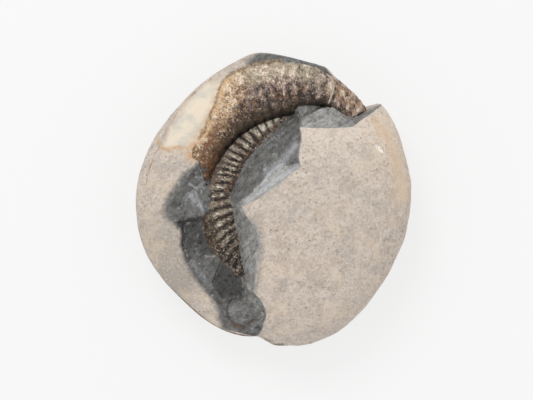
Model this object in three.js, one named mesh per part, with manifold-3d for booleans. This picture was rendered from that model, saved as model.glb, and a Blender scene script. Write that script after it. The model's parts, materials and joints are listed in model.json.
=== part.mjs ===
// An ammonite fossil in its limestone nodule, lying on its flattened base.
// Millimetres, +Z up. The origin is the middle of the nodule's bounding box, at the surface it rests on.
// Half of the nodule's cover is broken away. It bares the coil's last two whorls from above.

import * as THREE from 'three';
import { mergeVertices } from 'three/addons/utils/BufferGeometryUtils.js';
import Module from 'manifold-3d';

const wasm = await Module();
wasm.setup();

const { cos, sin, abs, sign, hypot, atan2, PI } = Math;
const degrees = PI / 180;
const fullTurn = 2 * PI;

// Nodule
const coilLevel = 16.5; // height of the coil's plane, where the nodule is widest
const domeRise = 17.5; // crown of the cover above the coil's plane
const bellyDrop = 17.7; // round underside below the coil's plane, before its flattening
const crown = new THREE.Vector2(6, -2);
const domeFullness = { mean: 2.15, towardsRight: 0.45 }; // superellipse power, 2 is an ellipse
const bellyFullness = 2.3;
const unevenness = 0.015; // share of the radius, nothing at the widest level
const noduleMeridians = 60;
const noduleRings = 16;

// The nodule's outline seen from above, before its corner was chipped away
const outline = [
  [39.8, 0.0], [38.7, 10.4], [35.5, 20.5], [30.9, 27.8], [23.8, 34.0], [16.7, 37.5], [8.5, 40.1],
  [0.0, 41.9], [-5.2, 42.1], [-12.6, 38.7], [-19.7, 34.1], [-25.7, 28.5], [-30.9, 22.5], [-35.3, 15.7],
  [-38.3, 8.2], [-39.6, 0.0], [-39.0, -8.3], [-36.4, -16.2], [-31.8, -23.1], [-26.2, -29.1],
  [-20.0, -34.6], [-13.9, -38.1], [-8.4, -39.6], [-4.2, -39.8], [0.0, -42.2], [4.5, -42.5],
  [11.2, -41.6], [18.7, -38.3], [25.4, -32.5], [30.6, -25.6], [34.8, -18.5], [38.3, -10.2],
];

// Coil
const coilCentre = new THREE.Vector2(9.5, -2);
const coilRadius = 41.6; // of the last whorl, straight up from the coil's centre
const whorlGrowth = 1.55; // radius gained in one turn
const whorlOverlap = 0.9; // a whorl's inner edge, as a share of the radius of the whorl within it
const whorlThickness = 0.84; // thickness of a whorl over its height
const crushing = 0.29; // radius lost on the right, under the standing cover
const lastAngle = 180 * degrees; // just past the last whorl's broken end
const turnCount = 4;
const ribSpacing = 2.2;
const ribRelief = 0.6; // crest above trough
const bareArcs = [[45, 180], [-270, -112.5]]; // degrees, where the break bares the whorls
const plainStep = 22.5 * degrees; // between rings where nothing shows
const bareStep = 7.5 * degrees;
const whorlSides = 10;
const shortStretch = 120 * degrees;
const longStretch = 320 * degrees;
const fit = 0.6; // gap between the fossil's crests and the stone around it

// Break, as one row for each station along it, from the chipped corner round to the lower edge.
// Each point is x, y and the height above the coil's plane; the brow lies on the nodule's own surface.
// ledge: where the rim's worn skin ends; bed: the stone at the fossil's left side;
// under: height of the break beneath the bared whorls; foot and brow: the cliff's lower and upper edge.
const breakStations = [
  { ledge: [29.5, 35.6, 0.0], foot: [27.5, 27.5, 6.0], brow: [28.6, 23.4] },
  { ledge: [26.6, 30.6, 0.0], foot: [22.3, 23.0, 7.6], brow: [22.5, 20.2] },
  { ledge: [17.6, 35.4, 0.6], foot: [15.3, 27.7, 8.4], brow: [15.9, 19.9] },
  { ledge: [6.2, 39.2, 2.2], foot: [6.9, 26.6, 7.4], brow: [8.1, 19.9] },
  { ledge: [-1.7, 39.4, 2.8], foot: [2.3, 22.3, 6.4], brow: [8.2, 16.5] },
  { ledge: [-8.7, 36.6, 3.6], foot: [-3.2, 17.1, 6.3], brow: [7.9, 12.4] },
  { ledge: [-13.6, 33.0, 4.6], foot: [-7.2, 11.6, 6.3], brow: [7.7, 9.0] },
  { ledge: [-15.4, 27.8, 7.4], foot: [-9.4, 8.1, 6.3], brow: [3.2, 5.8] },
  { ledge: [-18.8, 20.9, 8.8], foot: [-10.7, 4.6, 6.3], brow: [-2.6, 2.3] },
  { ledge: [-23.2, 12.6, 8.8], bed: [-21.0, 8.4, 5.6], foot: [-12.3, 0.3, 6.3], brow: [-8.7, -1.7] },
  { ledge: [-24.8, 7.0, 7.8], bed: [-18.8, 3.4, 4.6], foot: [-12.2, -0.8, 6.3], brow: [-8.3, -3.0] },
  { ledge: [-29.4, -1.8, 6.8], bed: [-18.0, -1.2, 4.6], foot: [-11.8, -2.6, 6.3], brow: [-7.6, -4.3] },
  { ledge: [-29.6, -4.6, 6.6], bed: [-19.4, -4.7, 4.3], foot: [-11.4, -4.4, 6.3], brow: [-6.9, -5.6] },
  { ledge: [-28.6, -6.0, 6.5], bed: [-19.9, -5.7, 2.5], foot: [-11.2, -5.4, 6.3], brow: [-6.4, -6.4] },
  { ledge: [-27.2, -13.3, 6.0], bed: [-19.7, -9.8, 2.7], foot: [-10.5, -9.2, 6.3], brow: [-4.4, -9.6] },
  { ledge: [-25.4, -18.2, 5.6], bed: [-18.2, -14.4, 3.2], foot: [-10.0, -12.7, 6.3], brow: [-3.9, -12.7] },
  { ledge: [-22.8, -22.4, 5.2], bed: [-15.4, -17.2, 4.4], foot: [-9.3, -16.0, 6.4], brow: [-4.4, -16.4] },
  { ledge: [-20.5, -25.7, 4.4], bed: [-13.2, -18.6, 5.8], foot: [-8.8, -18.6, 6.6], brow: [-4.8, -20.5] },
  { ledge: [-18.0, -28.6, 3.4], bed: [-10.0, -21.2, 6.4], under: 6.6, foot: [-8.3, -22.0, 6.8], brow: [-5.2, -24.0] },
  { ledge: [-16.8, -30.6, 2.4], bed: [-11.2, -25.6, 4.6], under: 5.4, foot: [-8.4, -25.4, 5.8], brow: [-5.6, -26.2] },
  { ledge: [-16.2, -32.4, 2.0], bed: [-12.4, -28.6, 3.2], under: 4.8, foot: [-6.0, -28.2, 5.4], brow: [-3.9, -28.2] },
  { ledge: [-15.8, -34.2, 1.6], bed: [-12.8, -31.6, 2.0], under: 3.2, foot: [-3.0, -31.4, 4.2], brow: [-2.2, -31.4] },
  { ledge: [-15.0, -36.2, 0.8], bed: [-12.0, -34.8, 0.8], under: 1.6, foot: [-2.6, -34.2, 2.2], brow: [-2.0, -34.2] },
  { ledge: [-13.4, -38.8, -0.6], bed: [-10.4, -38.0, -0.8], under: -0.6, foot: [-3.4, -37.4, -0.6], brow: [-2.9, -37.4] },
  { ledge: [-13.0, -45.0, -4.0], bed: [-10.0, -43.5, -4.0], under: -4.0, foot: [-4.8, -42.5, -4.0], brow: [-4.2, -42.0] },
];
const usualUnder = 0.4;
const rimReach = 56; // the break runs out past the rim, this far from the coil's centre
const rimFall = 0.8; // share of the ledge's height that is left at the rim
const browOvershoot = 0.3; // the cliff runs on past the brow by this share of its height
const ceiling = 30; // top of the cutter above the coil's plane

// Flakes broken off by flat cracks, each no larger than its reach around its middle. A crack passes
// through at, and its freed face looks towards the compass direction faces, tipped up by lean degrees.
const cornerChip = {
  middle: [32, 34, 0],
  reach: 30,
  cracks: [
    { at: [25.4, 25.1, 2], faces: 111, lean: 15 },
    { at: [20.8, 30.0, 0], faces: 36, lean: 8 },
  ],
};
const rimFlake = {
  middle: [6, 44, 10],
  reach: 20,
  cracks: [
    { at: [7, 41.2, 1.2], faces: 78, lean: 42 },
    { at: [-12, 40, 0], faces: 0, lean: 0 },
  ],
};
const brokenEnd = { at: [-20.8, 8.9, 6.5], faces: 212, lean: 25 };

// Lump left standing at the foot of the cliff
const lump = { at: [-7.4, -32.4, 1.0], size: [6.8, 6.4, 3.8] };

const outlineCurve = new THREE.CatmullRomCurve3(
  outline.map(([x, y]) => new THREE.Vector3(x, y, 0)), true, 'centripetal',
);
const outlineSamples = outlineCurve.getPoints(720).map((p) => {
  const fromCrown = new THREE.Vector2(p.x, p.y).sub(crown);
  return { angle: fromCrown.angle(), distance: fromCrown.length() };
}).sort((a, b) => a.angle - b.angle);

// Distance from the crown to the outline, in a compass direction
function outlineDistance(angle) {
  const wanted = ((angle % fullTurn) + fullTurn) % fullTurn;
  const above = outlineSamples.find((s) => s.angle >= wanted) ?? outlineSamples[0];
  const below = outlineSamples[outlineSamples.indexOf(above) - 1] ?? outlineSamples.at(-1);
  const span = above.angle - below.angle;
  const share = span > 0 ? (wanted - below.angle) / span : 0;
  return THREE.MathUtils.lerp(below.distance, above.distance, share);
}

function fullnessOfDome(angle) {
  return domeFullness.mean + domeFullness.towardsRight * cos(angle);
}

// Height of the unbroken dome above the coil's plane, at a point seen from above
function domeHeight(x, y) {
  const angle = atan2(y - crown.y, x - crown.x);
  const share = Math.min(1, hypot(x - crown.x, y - crown.y) / outlineDistance(angle));
  const power = fullnessOfDome(angle);
  return domeRise * (1 - share ** power) ** (1 / power);
}

// A copy of a geometry with each vertex moved by a function of its position
function warp(geometry, move) {
  const position = geometry.getAttribute('position');
  const point = new THREE.Vector3();
  for (let i = 0; i < position.count; i++) {
    point.fromBufferAttribute(position, i);
    position.setXYZ(i, ...move(point));
  }
  return geometry;
}

// A closed geometry as a solid that can be joined and cut
function solid(geometry) {
  const bare = geometry.clone();
  bare.deleteAttribute('normal');
  bare.deleteAttribute('uv');
  const merged = mergeVertices(bare, 1e-4);
  return new wasm.Manifold(new wasm.Mesh({
    numProp: 3,
    vertProperties: merged.getAttribute('position').array,
    triVerts: new Uint32Array(merged.index.array),
  }));
}

function geometryOf(made) {
  const mesh = made.getMesh();
  const geometry = new THREE.BufferGeometry();
  geometry.setAttribute('position', new THREE.BufferAttribute(mesh.vertProperties, 3));
  geometry.setIndex(new THREE.BufferAttribute(mesh.triVerts, 1));
  return geometry;
}

// The nodule as it lay in the shale: a flattened dome over a round belly that is worn flat below
function unbrokenNodule() {
  const ball = new THREE.SphereGeometry(1, noduleMeridians, noduleRings);
  return solid(warp(ball, (p) => {
    const angle = atan2(-p.z, p.x);
    const power = p.y > 0 ? fullnessOfDome(angle) : bellyFullness;
    const level = hypot(p.x, p.z);
    const wave = 1 + unevenness * (sin(3 * angle + 1) + sin(5 * angle + 4 * p.y)) * level * abs(p.y);
    const reach = level < 1e-6 ? 0 : outlineDistance(angle) * level ** (2 / power) * wave;
    const rise = (p.y > 0 ? domeRise : bellyDrop) * sign(p.y) * abs(p.y) ** (2 / power);
    return [
      crown.x + reach * cos(angle),
      crown.y + reach * sin(angle),
      Math.max(0, coilLevel + rise),
    ];
  }));
}

// Outer radius of the coil at an unwound angle, which grows by a full turn with each whorl
function outerRadius(angle) {
  const crushed = 1 - crushing * Math.max(0, cos(angle));
  return coilRadius * whorlGrowth ** ((angle - PI / 2) / fullTurn) * crushed;
}

function whorlSection(angle) {
  const outer = outerRadius(angle);
  const inner = whorlOverlap * outerRadius(angle - fullTurn);
  return { middle: (outer + inner) / 2, half: (outer - inner) / 2 };
}

// Unwound angles of the rings along the coil, from its broken end inwards, each with its rib's share.
// Rings stand at each crest and each trough where the whorls are bare, else at multiples of a step.
function ringsOfCoil(withRibs) {
  const rings = [];
  let angle = lastAngle;
  let crest = false;
  while (angle > lastAngle - turnCount * fullTurn) {
    const bare = bareArcs.some(([low, high]) => angle > low * degrees && angle <= high * degrees);
    const ribbed = bare && withRibs;
    rings.push({ angle, rib: ribbed && crest ? 1 : 0 });
    const step = bare ? bareStep : plainStep;
    if (ribbed) angle -= ribSpacing / 2 / whorlSection(angle).middle;
    else angle = (Math.ceil(angle / step - 0.01) - 1) * step;
    crest = !crest;
  }
  return rings;
}

// A stretch of the coil as a closed tube through some of its rings, grown by an offset
function whorl(rings, offset) {
  const last = rings.length - 1;
  const tube = new THREE.CylinderGeometry(1, 1, 1, whorlSides, last);
  return solid(warp(tube, (p) => {
    const { angle, rib } = rings[Math.round((0.5 - p.y) * last)];
    const { middle, half } = whorlSection(angle);
    const reach = 1 + (offset + ribRelief * (rib - 0.5)) / half;
    const radius = middle + half * reach * p.x;
    return [
      coilCentre.x + radius * cos(angle),
      coilCentre.y + radius * sin(angle),
      coilLevel + half * whorlThickness * reach * p.z,
    ];
  }));
}

// The whole coil, joined from stretches of less than one turn. A crack broke off the end of the first.
function coil(withRibs, offset) {
  const rings = ringsOfCoil(withRibs);
  let joined;
  for (let start = 0; start < rings.length - 1;) {
    const reach = joined ? longStretch : shortStretch;
    let end = start + 1;
    while (end < rings.length - 1 && rings[start].angle - rings[end + 1].angle < reach) end++;
    const stretch = whorl(rings.slice(start, end + 1), offset);
    joined = joined ? joined.add(stretch) : split(stretch, brokenEnd, false, offset);
    start = end;
  }
  return joined;
}

function atLevel([x, y, height]) {
  return new THREE.Vector3(x, y, coilLevel + height);
}

// What is left of a solid behind a crack, or in front of it
function split(made, { at, faces, lean }, keepFront, clearance = 0) {
  const normal = new THREE.Vector3(
    cos(lean * degrees) * cos(faces * degrees),
    cos(lean * degrees) * sin(faces * degrees),
    sin(lean * degrees),
  );
  const offset = normal.dot(atLevel(at)) + clearance;
  return keepFront
    ? made.trimByPlane(normal.toArray(), offset)
    : made.trimByPlane(normal.negate().toArray(), -offset);
}

// A flake lies within its reach, in front of all its cracks
function flake({ middle, reach, cracks }) {
  const whole = solid(new THREE.IcosahedronGeometry(reach, 2)).translate(atLevel(middle).toArray());
  return cracks.reduce((piece, crack) => split(piece, crack, true), whole);
}

// Everything that the main break took off: a box whose underside is bent to the broken surface
function brokenAway() {
  const across = 5;
  const stations = breakStations.length - 1;
  const box = new THREE.BoxGeometry(1, 1, 1, stations, across, 1);
  return solid(warp(box, (p) => {
    const station = breakStations[Math.round((p.x + 0.5) * stations)];
    const { ledge, bed, foot, brow, under = usualUnder } = station;
    const ledgePoint = new THREE.Vector3(...ledge);
    const footPoint = new THREE.Vector3(...foot);
    const centre = new THREE.Vector3(coilCentre.x, coilCentre.y, 0);
    const outward = ledgePoint.clone().setZ(0).sub(centre);
    const rimPoint = centre.clone().addScaledVector(outward, rimReach / outward.length());
    rimPoint.z = ledge[2] * rimFall;
    const bedPoint = bed ? new THREE.Vector3(...bed) : ledgePoint.clone().lerp(footPoint, 0.3).setZ(under);
    const underPoint = bedPoint.clone().lerp(footPoint, 0.9).setZ(under);
    const browPoint = new THREE.Vector3(...brow, domeHeight(...brow));
    browPoint.lerp(footPoint, -browOvershoot);
    const row = [rimPoint, ledgePoint, bedPoint, underPoint, footPoint, browPoint];
    const { x, y, z } = row[Math.round((p.y + 0.5) * across)];
    return [x, y, coilLevel + (p.z < 0 ? z : ceiling)];
  }));
}

// The body that is left when crumbs have dropped off
function largestBody(made) {
  return made.decompose().reduce((a, b) => (a.volume() > b.volume() ? a : b));
}

function lumpAtFoot() {
  const ball = new THREE.IcosahedronGeometry(1, 2);
  ball.scale(...lump.size);
  ball.translate(lump.at[0], lump.at[1], coilLevel + lump.at[2]);
  return solid(ball);
}

function named(name, made, colour, roughness) {
  const material = new THREE.MeshStandardMaterial({ color: colour, roughness, metalness: 0 });
  const mesh = new THREE.Mesh(geometryOf(made), material);
  mesh.name = name;
  return mesh;
}

const ammonite = largestBody(coil(true, 0));

let stone = unbrokenNodule().subtract(brokenAway()).add(lumpAtFoot());
for (const chip of [cornerChip, rimFlake]) stone = stone.subtract(flake(chip));
const nodule = largestBody(stone.subtract(coil(false, ribRelief / 2 + fit)));

const fossil = new THREE.Group();
fossil.add(
  named('nodule', nodule, '#c9bdb1', 0.9),
  named('ammonite', ammonite, '#6b5646', 0.6),
);

export default fossil;
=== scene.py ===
"""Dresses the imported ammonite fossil: the broken nodule, the ribbed coil in it, and the stage.

Every size in the tables is in millimetres in the frame of the CAD model, as (x, y) or (x, y, height
above the coil's plane). Meshes are made in metres.
"""

import json
import math
from contextlib import contextmanager

import bpy
import numpy as np
from bpy.props import FloatProperty, FloatVectorProperty, PointerProperty
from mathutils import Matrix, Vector, geometry

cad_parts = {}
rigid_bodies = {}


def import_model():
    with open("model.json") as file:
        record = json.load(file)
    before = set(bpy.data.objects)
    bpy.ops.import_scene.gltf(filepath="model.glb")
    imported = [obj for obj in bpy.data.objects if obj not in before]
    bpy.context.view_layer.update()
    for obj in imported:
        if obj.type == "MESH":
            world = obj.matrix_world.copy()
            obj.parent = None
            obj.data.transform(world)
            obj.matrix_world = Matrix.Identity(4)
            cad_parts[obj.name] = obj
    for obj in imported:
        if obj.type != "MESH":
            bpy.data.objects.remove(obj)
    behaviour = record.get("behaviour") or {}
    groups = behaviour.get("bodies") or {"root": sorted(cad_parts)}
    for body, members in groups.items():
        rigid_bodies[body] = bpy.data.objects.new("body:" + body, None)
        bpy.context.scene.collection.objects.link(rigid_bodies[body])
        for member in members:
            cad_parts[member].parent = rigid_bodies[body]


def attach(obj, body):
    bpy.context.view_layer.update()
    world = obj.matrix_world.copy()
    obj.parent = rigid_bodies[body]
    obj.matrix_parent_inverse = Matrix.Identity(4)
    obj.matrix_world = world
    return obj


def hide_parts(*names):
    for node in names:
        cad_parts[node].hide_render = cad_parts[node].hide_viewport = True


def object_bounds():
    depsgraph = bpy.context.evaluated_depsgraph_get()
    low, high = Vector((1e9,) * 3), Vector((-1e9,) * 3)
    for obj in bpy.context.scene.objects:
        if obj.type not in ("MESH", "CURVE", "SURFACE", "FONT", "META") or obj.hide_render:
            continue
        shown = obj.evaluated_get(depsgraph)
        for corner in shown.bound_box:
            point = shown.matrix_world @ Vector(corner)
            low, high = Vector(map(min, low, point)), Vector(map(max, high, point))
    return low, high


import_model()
CAD_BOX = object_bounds()

bl_info = {
    "name": "Ammonite in a nodule",
    "version": (1, 0, 0),
    "blender": (4, 5, 0),
    "location": "View3D > Sidebar > Fossil",
    "description": "Builds a ribbed ammonite in its broken limestone nodule",
    "category": "Object",
}

MM = 0.001
TURN = 2 * math.pi

# Nodule, as in the CAD model
COIL_LEVEL = 16.5
DOME_RISE = 17.5
BELLY_DROP = 17.7
CROWN = (6.0, -2.0)
DOME_FULLNESS = (2.15, 0.45)
BELLY_FULLNESS = 2.3
OUTLINE = [
    (39.8, 0), (38.7, 10.4), (35.5, 20.5), (30.9, 27.8), (23.8, 34), (16.7, 37.5), (8.5, 40.1), (0, 41.9),
    (-5.2, 42.1), (-12.6, 38.7), (-19.7, 34.1), (-25.7, 28.5), (-30.9, 22.5), (-35.3, 15.7), (-38.3, 8.2),
    (-39.6, 0), (-39, -8.3), (-36.4, -16.2), (-31.8, -23.1), (-26.2, -29.1), (-20, -34.6), (-13.9, -38.1),
    (-8.4, -39.6), (-4.2, -39.8), (0, -42.2), (4.5, -42.5), (11.2, -41.6), (18.7, -38.3), (25.4, -32.5),
    (30.6, -25.6), (34.8, -18.5), (38.3, -10.2),
]

# Coil, as in the CAD model
COIL_CENTRE = (9.5, -2.0)
COIL_RADIUS = 41.6
WHORL_GROWTH = 1.55
WHORL_OVERLAP = 0.97
WHORL_THICKNESS = 0.93
LAST_FULLNESS = 0.88
# Places where the last whorl reaches further out or less far: (degrees, width, share)
BULGES = [(118, 16, 0.032), (55, 20, -0.02)]
CRUSHING = 0.29
# Unwound angles where the last whorl begins and ends
LAST_START = math.radians(20)
LAST_END = math.radians(180)

# Worn surface left of the break: shelf, flank and top rim
WORN = [
    (29.5, 35.6, 0), (26.6, 30.6, 0), (17.6, 35.4, 0.6), (6.2, 39.2, 2.2), (-1.7, 39.4, 2.8),
    (-8.7, 36.6, 3.6), (-13.6, 33, 4.4), (-15.4, 27.8, 6.7), (-18.8, 20.9, 7.4), (-23.2, 12.6, 7.9),
    (-24.8, 7, 7.9), (-29.4, -1.8, 6.9), (-28.6, -6, 6.5), (-27.2, -13.3, 6), (-25.4, -18.2, 5.6),
    (-22.8, -22.4, 5.2), (-20.5, -25.7, 4.6), (-18, -28.6, 3.8), (-16.2, -32.4, 2.4), (-15, -36.2, 1),
    (-13.4, -38.8, -0.6), (-27, 22, 6.6), (-33, 10, 5.6), (-36.5, -2, 3.8), (-34.5, -13, 2.6),
    (-29, -22.5, 2), (-22.5, -30.5, 0.8), (-20, 32, 4), (-45, 30, 2), (-54, 0, 0), (-45, -28, -3),
    (-25, -48, -5), (-20, 48, 1), (0, 52, 0), (25, 48, -3),
]

# Outline of the side that is worn down, left of the middle of the break
WORN_SIDE = [
    (60, 20), (30, 28), (14, 26), (5, 21), (-6, 12), (-13, 2), (-12, -10), (-10, -22), (-6, -30), (-4, -60),
    (-90, -60), (-90, 90), (60, 90),
]

# Edge of the cover's skin, from the tip at the chipped corner down to the lower edge
BROW = [
    (31.8, 27.7), (28, 24.3), (25.1, 22.3), (22.3, 20.4), (19.4, 20), (16.5, 19.9), (13.6, 19.8),
    (10.7, 19.9), (7.7, 20.2), (8.2, 18.4), (8.2, 16.5), (7.6, 14), (7.4, 11.8), (7.8, 9), (5.6, 7.5),
    (3.5, 5.8), (1.8, 4.2), (-0.3, 2.9), (-2.3, 1.5), (-4.3, -0.3), (-6.5, -1.2), (-8.7, -2.3), (-7.8, -4.2),
    (-6.6, -6.1), (-5.2, -7.6), (-4.3, -9.5), (-3.9, -12.7), (-4.2, -15), (-4.6, -17.6), (-4.7, -21),
    (-5.2, -24.9), (-5.6, -26.3), (-3.5, -28.6), (-2, -31.5), (-1.7, -33.2), (-2.6, -35.8), (-3.2, -37.9),
    (-3.4, -44),
]
# Foot of the cover's broken faces, where they meet the whorls
FOOT = [
    (26, 25.3), (22.4, 22.9), (19.4, 24.9), (16.5, 26.7), (13.6, 27.6), (10.7, 27.5), (6.5, 26.9),
    (6.2, 24.6), (4.1, 23), (1.9, 21.1), (-0.9, 18.8), (-3.5, 15.9), (-6.6, 12.4), (-9, 8.7), (-10.5, 5.3),
    (-11.8, 2.7), (-12.6, 0.3), (-11.6, -2.9), (-10.7, -8.4), (-9.5, -14.7), (-8.4, -20.5), (-8.1, -23.4),
]
# Lower end and left side of the bared second whorl, from the foot round to the last whorl's tail
WHORL_SIDE = [
    (-8.7, -22.8), (-10.4, -20.5), (-12.4, -18.8), (-15, -17.6), (-16.5, -15.3), (-17.9, -13.9),
    (-19.1, -11.8), (-19.7, -9.5), (-19.9, -6.6), (-19.5, -4.9), (-18.3, -3.2), (-17.9, -1.2), (-18.1, 2.6),
    (-18.4, 5.4), (-19, 6.9),
]
# Outer side of the bared last whorl, from its tail over the top to its right end
LAST_WHORL_SIDE = [
    (-21.1, 10.7), (-23.1, 11.8), (-23.1, 14.2), (-20.5, 17.6), (-18.8, 20.5), (-17.1, 24.6), (-15.7, 27.5),
    (-15, 30.9), (-13.9, 33.6), (-11.8, 35.5), (-8.7, 37), (-3, 38.9), (2.5, 39.2), (8, 38.7), (13.5, 37),
    (18.5, 34.4), (22.8, 30.8), (25.8, 27.6),
]
# Outline of the bared part of the coil
BARED = FOOT[::-1] + LAST_WHORL_SIDE[::-1] + WHORL_SIDE[::-1]
# Soft edge between the worn flank and the grey break, from the tail down to the lower edge
FLANK_EDGE = [
    (-21.3, 11), (-22.6, 9.2), (-24, 7.5), (-26.9, 3.5), (-29.8, -1.2), (-30.3, -3.8), (-28, -6.1),
    (-26.3, -9), (-26.5, -13.3), (-25.2, -18.2), (-23.1, -22), (-20.5, -25.7), (-17.6, -29.2), (-16.2, -31.5),
    (-15.9, -34.4), (-14.7, -37.2), (-14, -44),
]

# Creases of the broken faces, each with its heights. They are where two faces meet.
CREASES = {
    "corner ridge": [(6.5, 26.9, 7), (7.1, 24.6, 9.6), (7.7, 20.2, None)],
    "scallop": [(7.8, 9, None), (5.6, 9.2, 13.4), (3.6, 9.6, 11.6), (0.4, 7.4, 11.4), (-2.3, 5.2, 11.2),
        (-5.2, 2.4, 11.2), (-8.7, -0.9, 12.2), (-9.9, -1.9, 11.2), (-8.7, -2.3, None)],
    "scallop hollow": [(3.6, 9.6, 11.6), (1.6, 11.6, 9.6), (-2.4, 8.4, 8.9)],
    "prow": [(-12.6, 0.3, 5.1), (-9.9, -1.9, 11.2)],
    "left bench": [(-9.9, -1.9, 11.2), (-7.6, -6.6, 11.3), (-7, -10, 11.4), (-6.9, -14.7, 11.2),
        (-6.9, -20, 11), (-6.7, -24, 10.2), (-6.6, -26.3, 8.6)],
    "upper facet, left": [(-21.3, 11, 7.6), (-22.2, 6.4, 6.4), (-23.4, 1.6, 5.4), (-21.6, -2.2, 4.6),
        (-20.2, -4.9, 4.3)],
    "upper facet, right": [(-20.2, 9.5, 6.2), (-20.2, 6.6, 5.4), (-20.6, 2.6, 4.7), (-19.6, -1, 4.3),
        (-18.6, -2.6, 4.2)],
    "upper facet, rib": [(-20.2, 6.6, 5.4), (-23.4, 1.6, 5.4), (-27, -2.6, 5.6)],
    "pit edge": [(-28, -6.1, 6.1), (-25.7, -6.2, 5.1), (-24, -5.5, 4.8), (-22, -5.2, 4.5),
        (-20.2, -4.9, 4.3)],
    "pit floor": [(-25.7, -7.4, 3.7), (-24.8, -7, 3.2), (-22.6, -6.4, 2.6), (-20.8, -6, 2.3),
        (-20.2, -7.6, 2)],
    "pit side": [(-25.7, -7.4, 3.7), (-25.4, -10.6, 3.9), (-25.6, -14, 4.2), (-24.3, -17.4, 4.6),
        (-22.2, -20.6, 4.9)],
    "pit fold": [(-20.2, -7.6, 2), (-22.6, -12.6, 3.4), (-21.4, -18.4, 4.7), (-18.8, -24, 4.6)],
    "crack": [(-15, -17.6, 4.9), (-16.3, -21, 5.2), (-17.4, -23.9, 5), (-18.8, -26.8, 4.2)],
    "lower facet": [(-8.7, -22.8, 6.2), (-8.3, -24.8, 6), (-8.7, -26.6, 5.6), (-10.6, -27.9, 4.6),
        (-13.2, -28.9, 3.7), (-15.6, -29, 3.5), (-17.8, -27.6, 3.9)],
    "chunk": [(-8.1, -26.9, 7), (-6.2, -26.9, 8.2), (-4.4, -28.9, 8.8), (-3.2, -31.5, 8.4), (-3, -33.4, 7.4),
        (-4.2, -35.4, 6), (-6.2, -36.2, 4.8), (-8.4, -36.2, 4), (-10.4, -35.4, 3.7), (-12, -33.9, 3.8),
        (-12.6, -32, 4.2), (-12.2, -30.2, 4.9), (-10.6, -28.7, 5.9), (-8.1, -26.9, 7)],
    "chunk foot": [(-11.2, -28.7, 4), (-13, -30.1, 3.2), (-13.5, -32.2, 2.4), (-12.9, -34.4, 1.8),
        (-11.2, -36.2, 1.2), (-8.6, -37.2, 0.6), (-6, -37.4, 1), (-3.9, -36.6, 3.4)],
}

# Where the skin is cream
CREAM = [
    (-19.7, 32.9), (-14.7, 33.8), (-15.3, 28.6), (-17.6, 22.8), (-21.1, 17.1), (-24, 14.5), (-31.8, 14.7),
    (-29.2, 20.5), (-24, 28),
]
# Marks on the stone by the attribute that holds them, the gap marks being painted shade: (line, width,
# strength)
STAINS_AND_GAP_SHADE = {
    "rust": [
        ([(-21.1, 10.9), (-23.4, 12.4), (-23, 15.4), (-20.3, 19), (-18.2, 22.6), (-16.3, 26.6),
            (-14.9, 31.6)], 1.5, 0.9),
        ([(-33.2, 17), (-32, 14.6), (-30.4, 14.3), (-27, 14.9), (-23.4, 14.4)], 0.5, 1),
        ([(-25.1, 12.7), (-23.2, 14.4)], 0.5, 0.6),
        ([(28.6, 23.4), (29.8, 20.6), (30.6, 17.4)], 0.9, 0.5),
        ([(32.4, 18.3), (33.4, 15.2), (33.9, 12.4)], 0.7, 0.5),
        ([(31.4, 20.6), (33, 15.2), (35.6, 9)], 0.5, 0.6),
        ([(7.9, -5.5), (7.9, -5.3)], 0.35, 1),
    ],
    "rust_edge": [
        ([(-20.2, -4.9), (-20, -8), (-19.3, -11.6), (-17.9, -14.2), (-16.4, -15.6), (-15, -17.7)], 0.3, 0.7),
        ([(-13.4, -18.2), (-12, -19.4), (-9.6, -21.6)], 0.35, 0.8),
        ([(-12.6, -35.6), (-10.4, -36.6), (-8, -37.1)], 0.5, 0.9),
        ([(-7, -36), (-5.6, -35.2), (-4.2, -34.8)], 0.35, 0.8),
    ],
    "wisp": [
        ([(-24.1, 4.4), (-21.9, 3), (-19.7, 4.9)], 0.35, 0.7),
        ([(-22.6, 2.6), (-21.2, -1), (-19.9, -4.3)], 0.35, 0.6),
        ([(-23.6, 1.2), (-22.4, -0.8)], 0.9, 0.5),
        ([(3.4, 10.2), (0.9, 8.9), (-2, 5.9), (-3.4, 4)], 0.5, 1),
        ([(6.2, 15.2), (3.4, 11.4), (-1.6, 7)], 1.1, 0.55),
        ([(7.4, 9.2), (2.2, 6.2), (-3.2, 2.4), (-7.2, -0.6)], 0.9, 0.7),
        ([(-8.6, -2.9), (-6.2, -4), (-4.9, -6.6)], 0.9, 0.8),
        ([(7, 26.3), (10.4, 27), (14, 27)], 0.5, 0.6),
        ([(-23, -18.6), (-20.4, -22.6), (-17.8, -25.4)], 0.9, 0.28),
    ],
    # Painted shade in the gaps round the chunk and in a gap left of it.
    "gap": [
        ([(-9, -27.9), (-11.6, -28.6), (-13.1, -30.4), (-13.5, -32.6), (-12.8, -34.6), (-11.4, -36),
            (-8.6, -36.6)], 0.75, 1),
        ([(-8.4, -36.4), (-6.2, -35), (-4.4, -34.6)], 0.5, 0.8),
        ([(-18.4, -24.4), (-16.4, -28.2), (-14.6, -31.6), (-14, -35)], 1, 0.6),
    ],
    "chalk": [
        ([(29.4, 15), (30.8, 13.6)], 0.8, 1),
    ],
    "band": [
        ([(30.8, 21.5), (34.2, 14), (36.6, 6), (36.8, 1)], 2.6, 1),
    ],
}
# Darker patches low on the stone's lower edge, in the same form
FRINGE = [
    ([(-3, -40.6), (0.6, -42.2), (4.6, -42.6), (8.6, -42.6), (12, -42)], 1.3, 1),
    ([(-15, -38.6), (-10.6, -39.8), (-5.4, -40.2)], 0.8, 1),
]
# Fine crack near the left rim
RIM_HAIRLINE = [
    (-36.7, 0.9), (-36.3, 5.5), (-35.5, 9), (-33.2, 14.2), (-31.5, 17.9), (-29.2, 22.3), (-25.7, 27.5),
    (-22.3, 30.9), (-17.6, 34.7),
]
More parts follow.
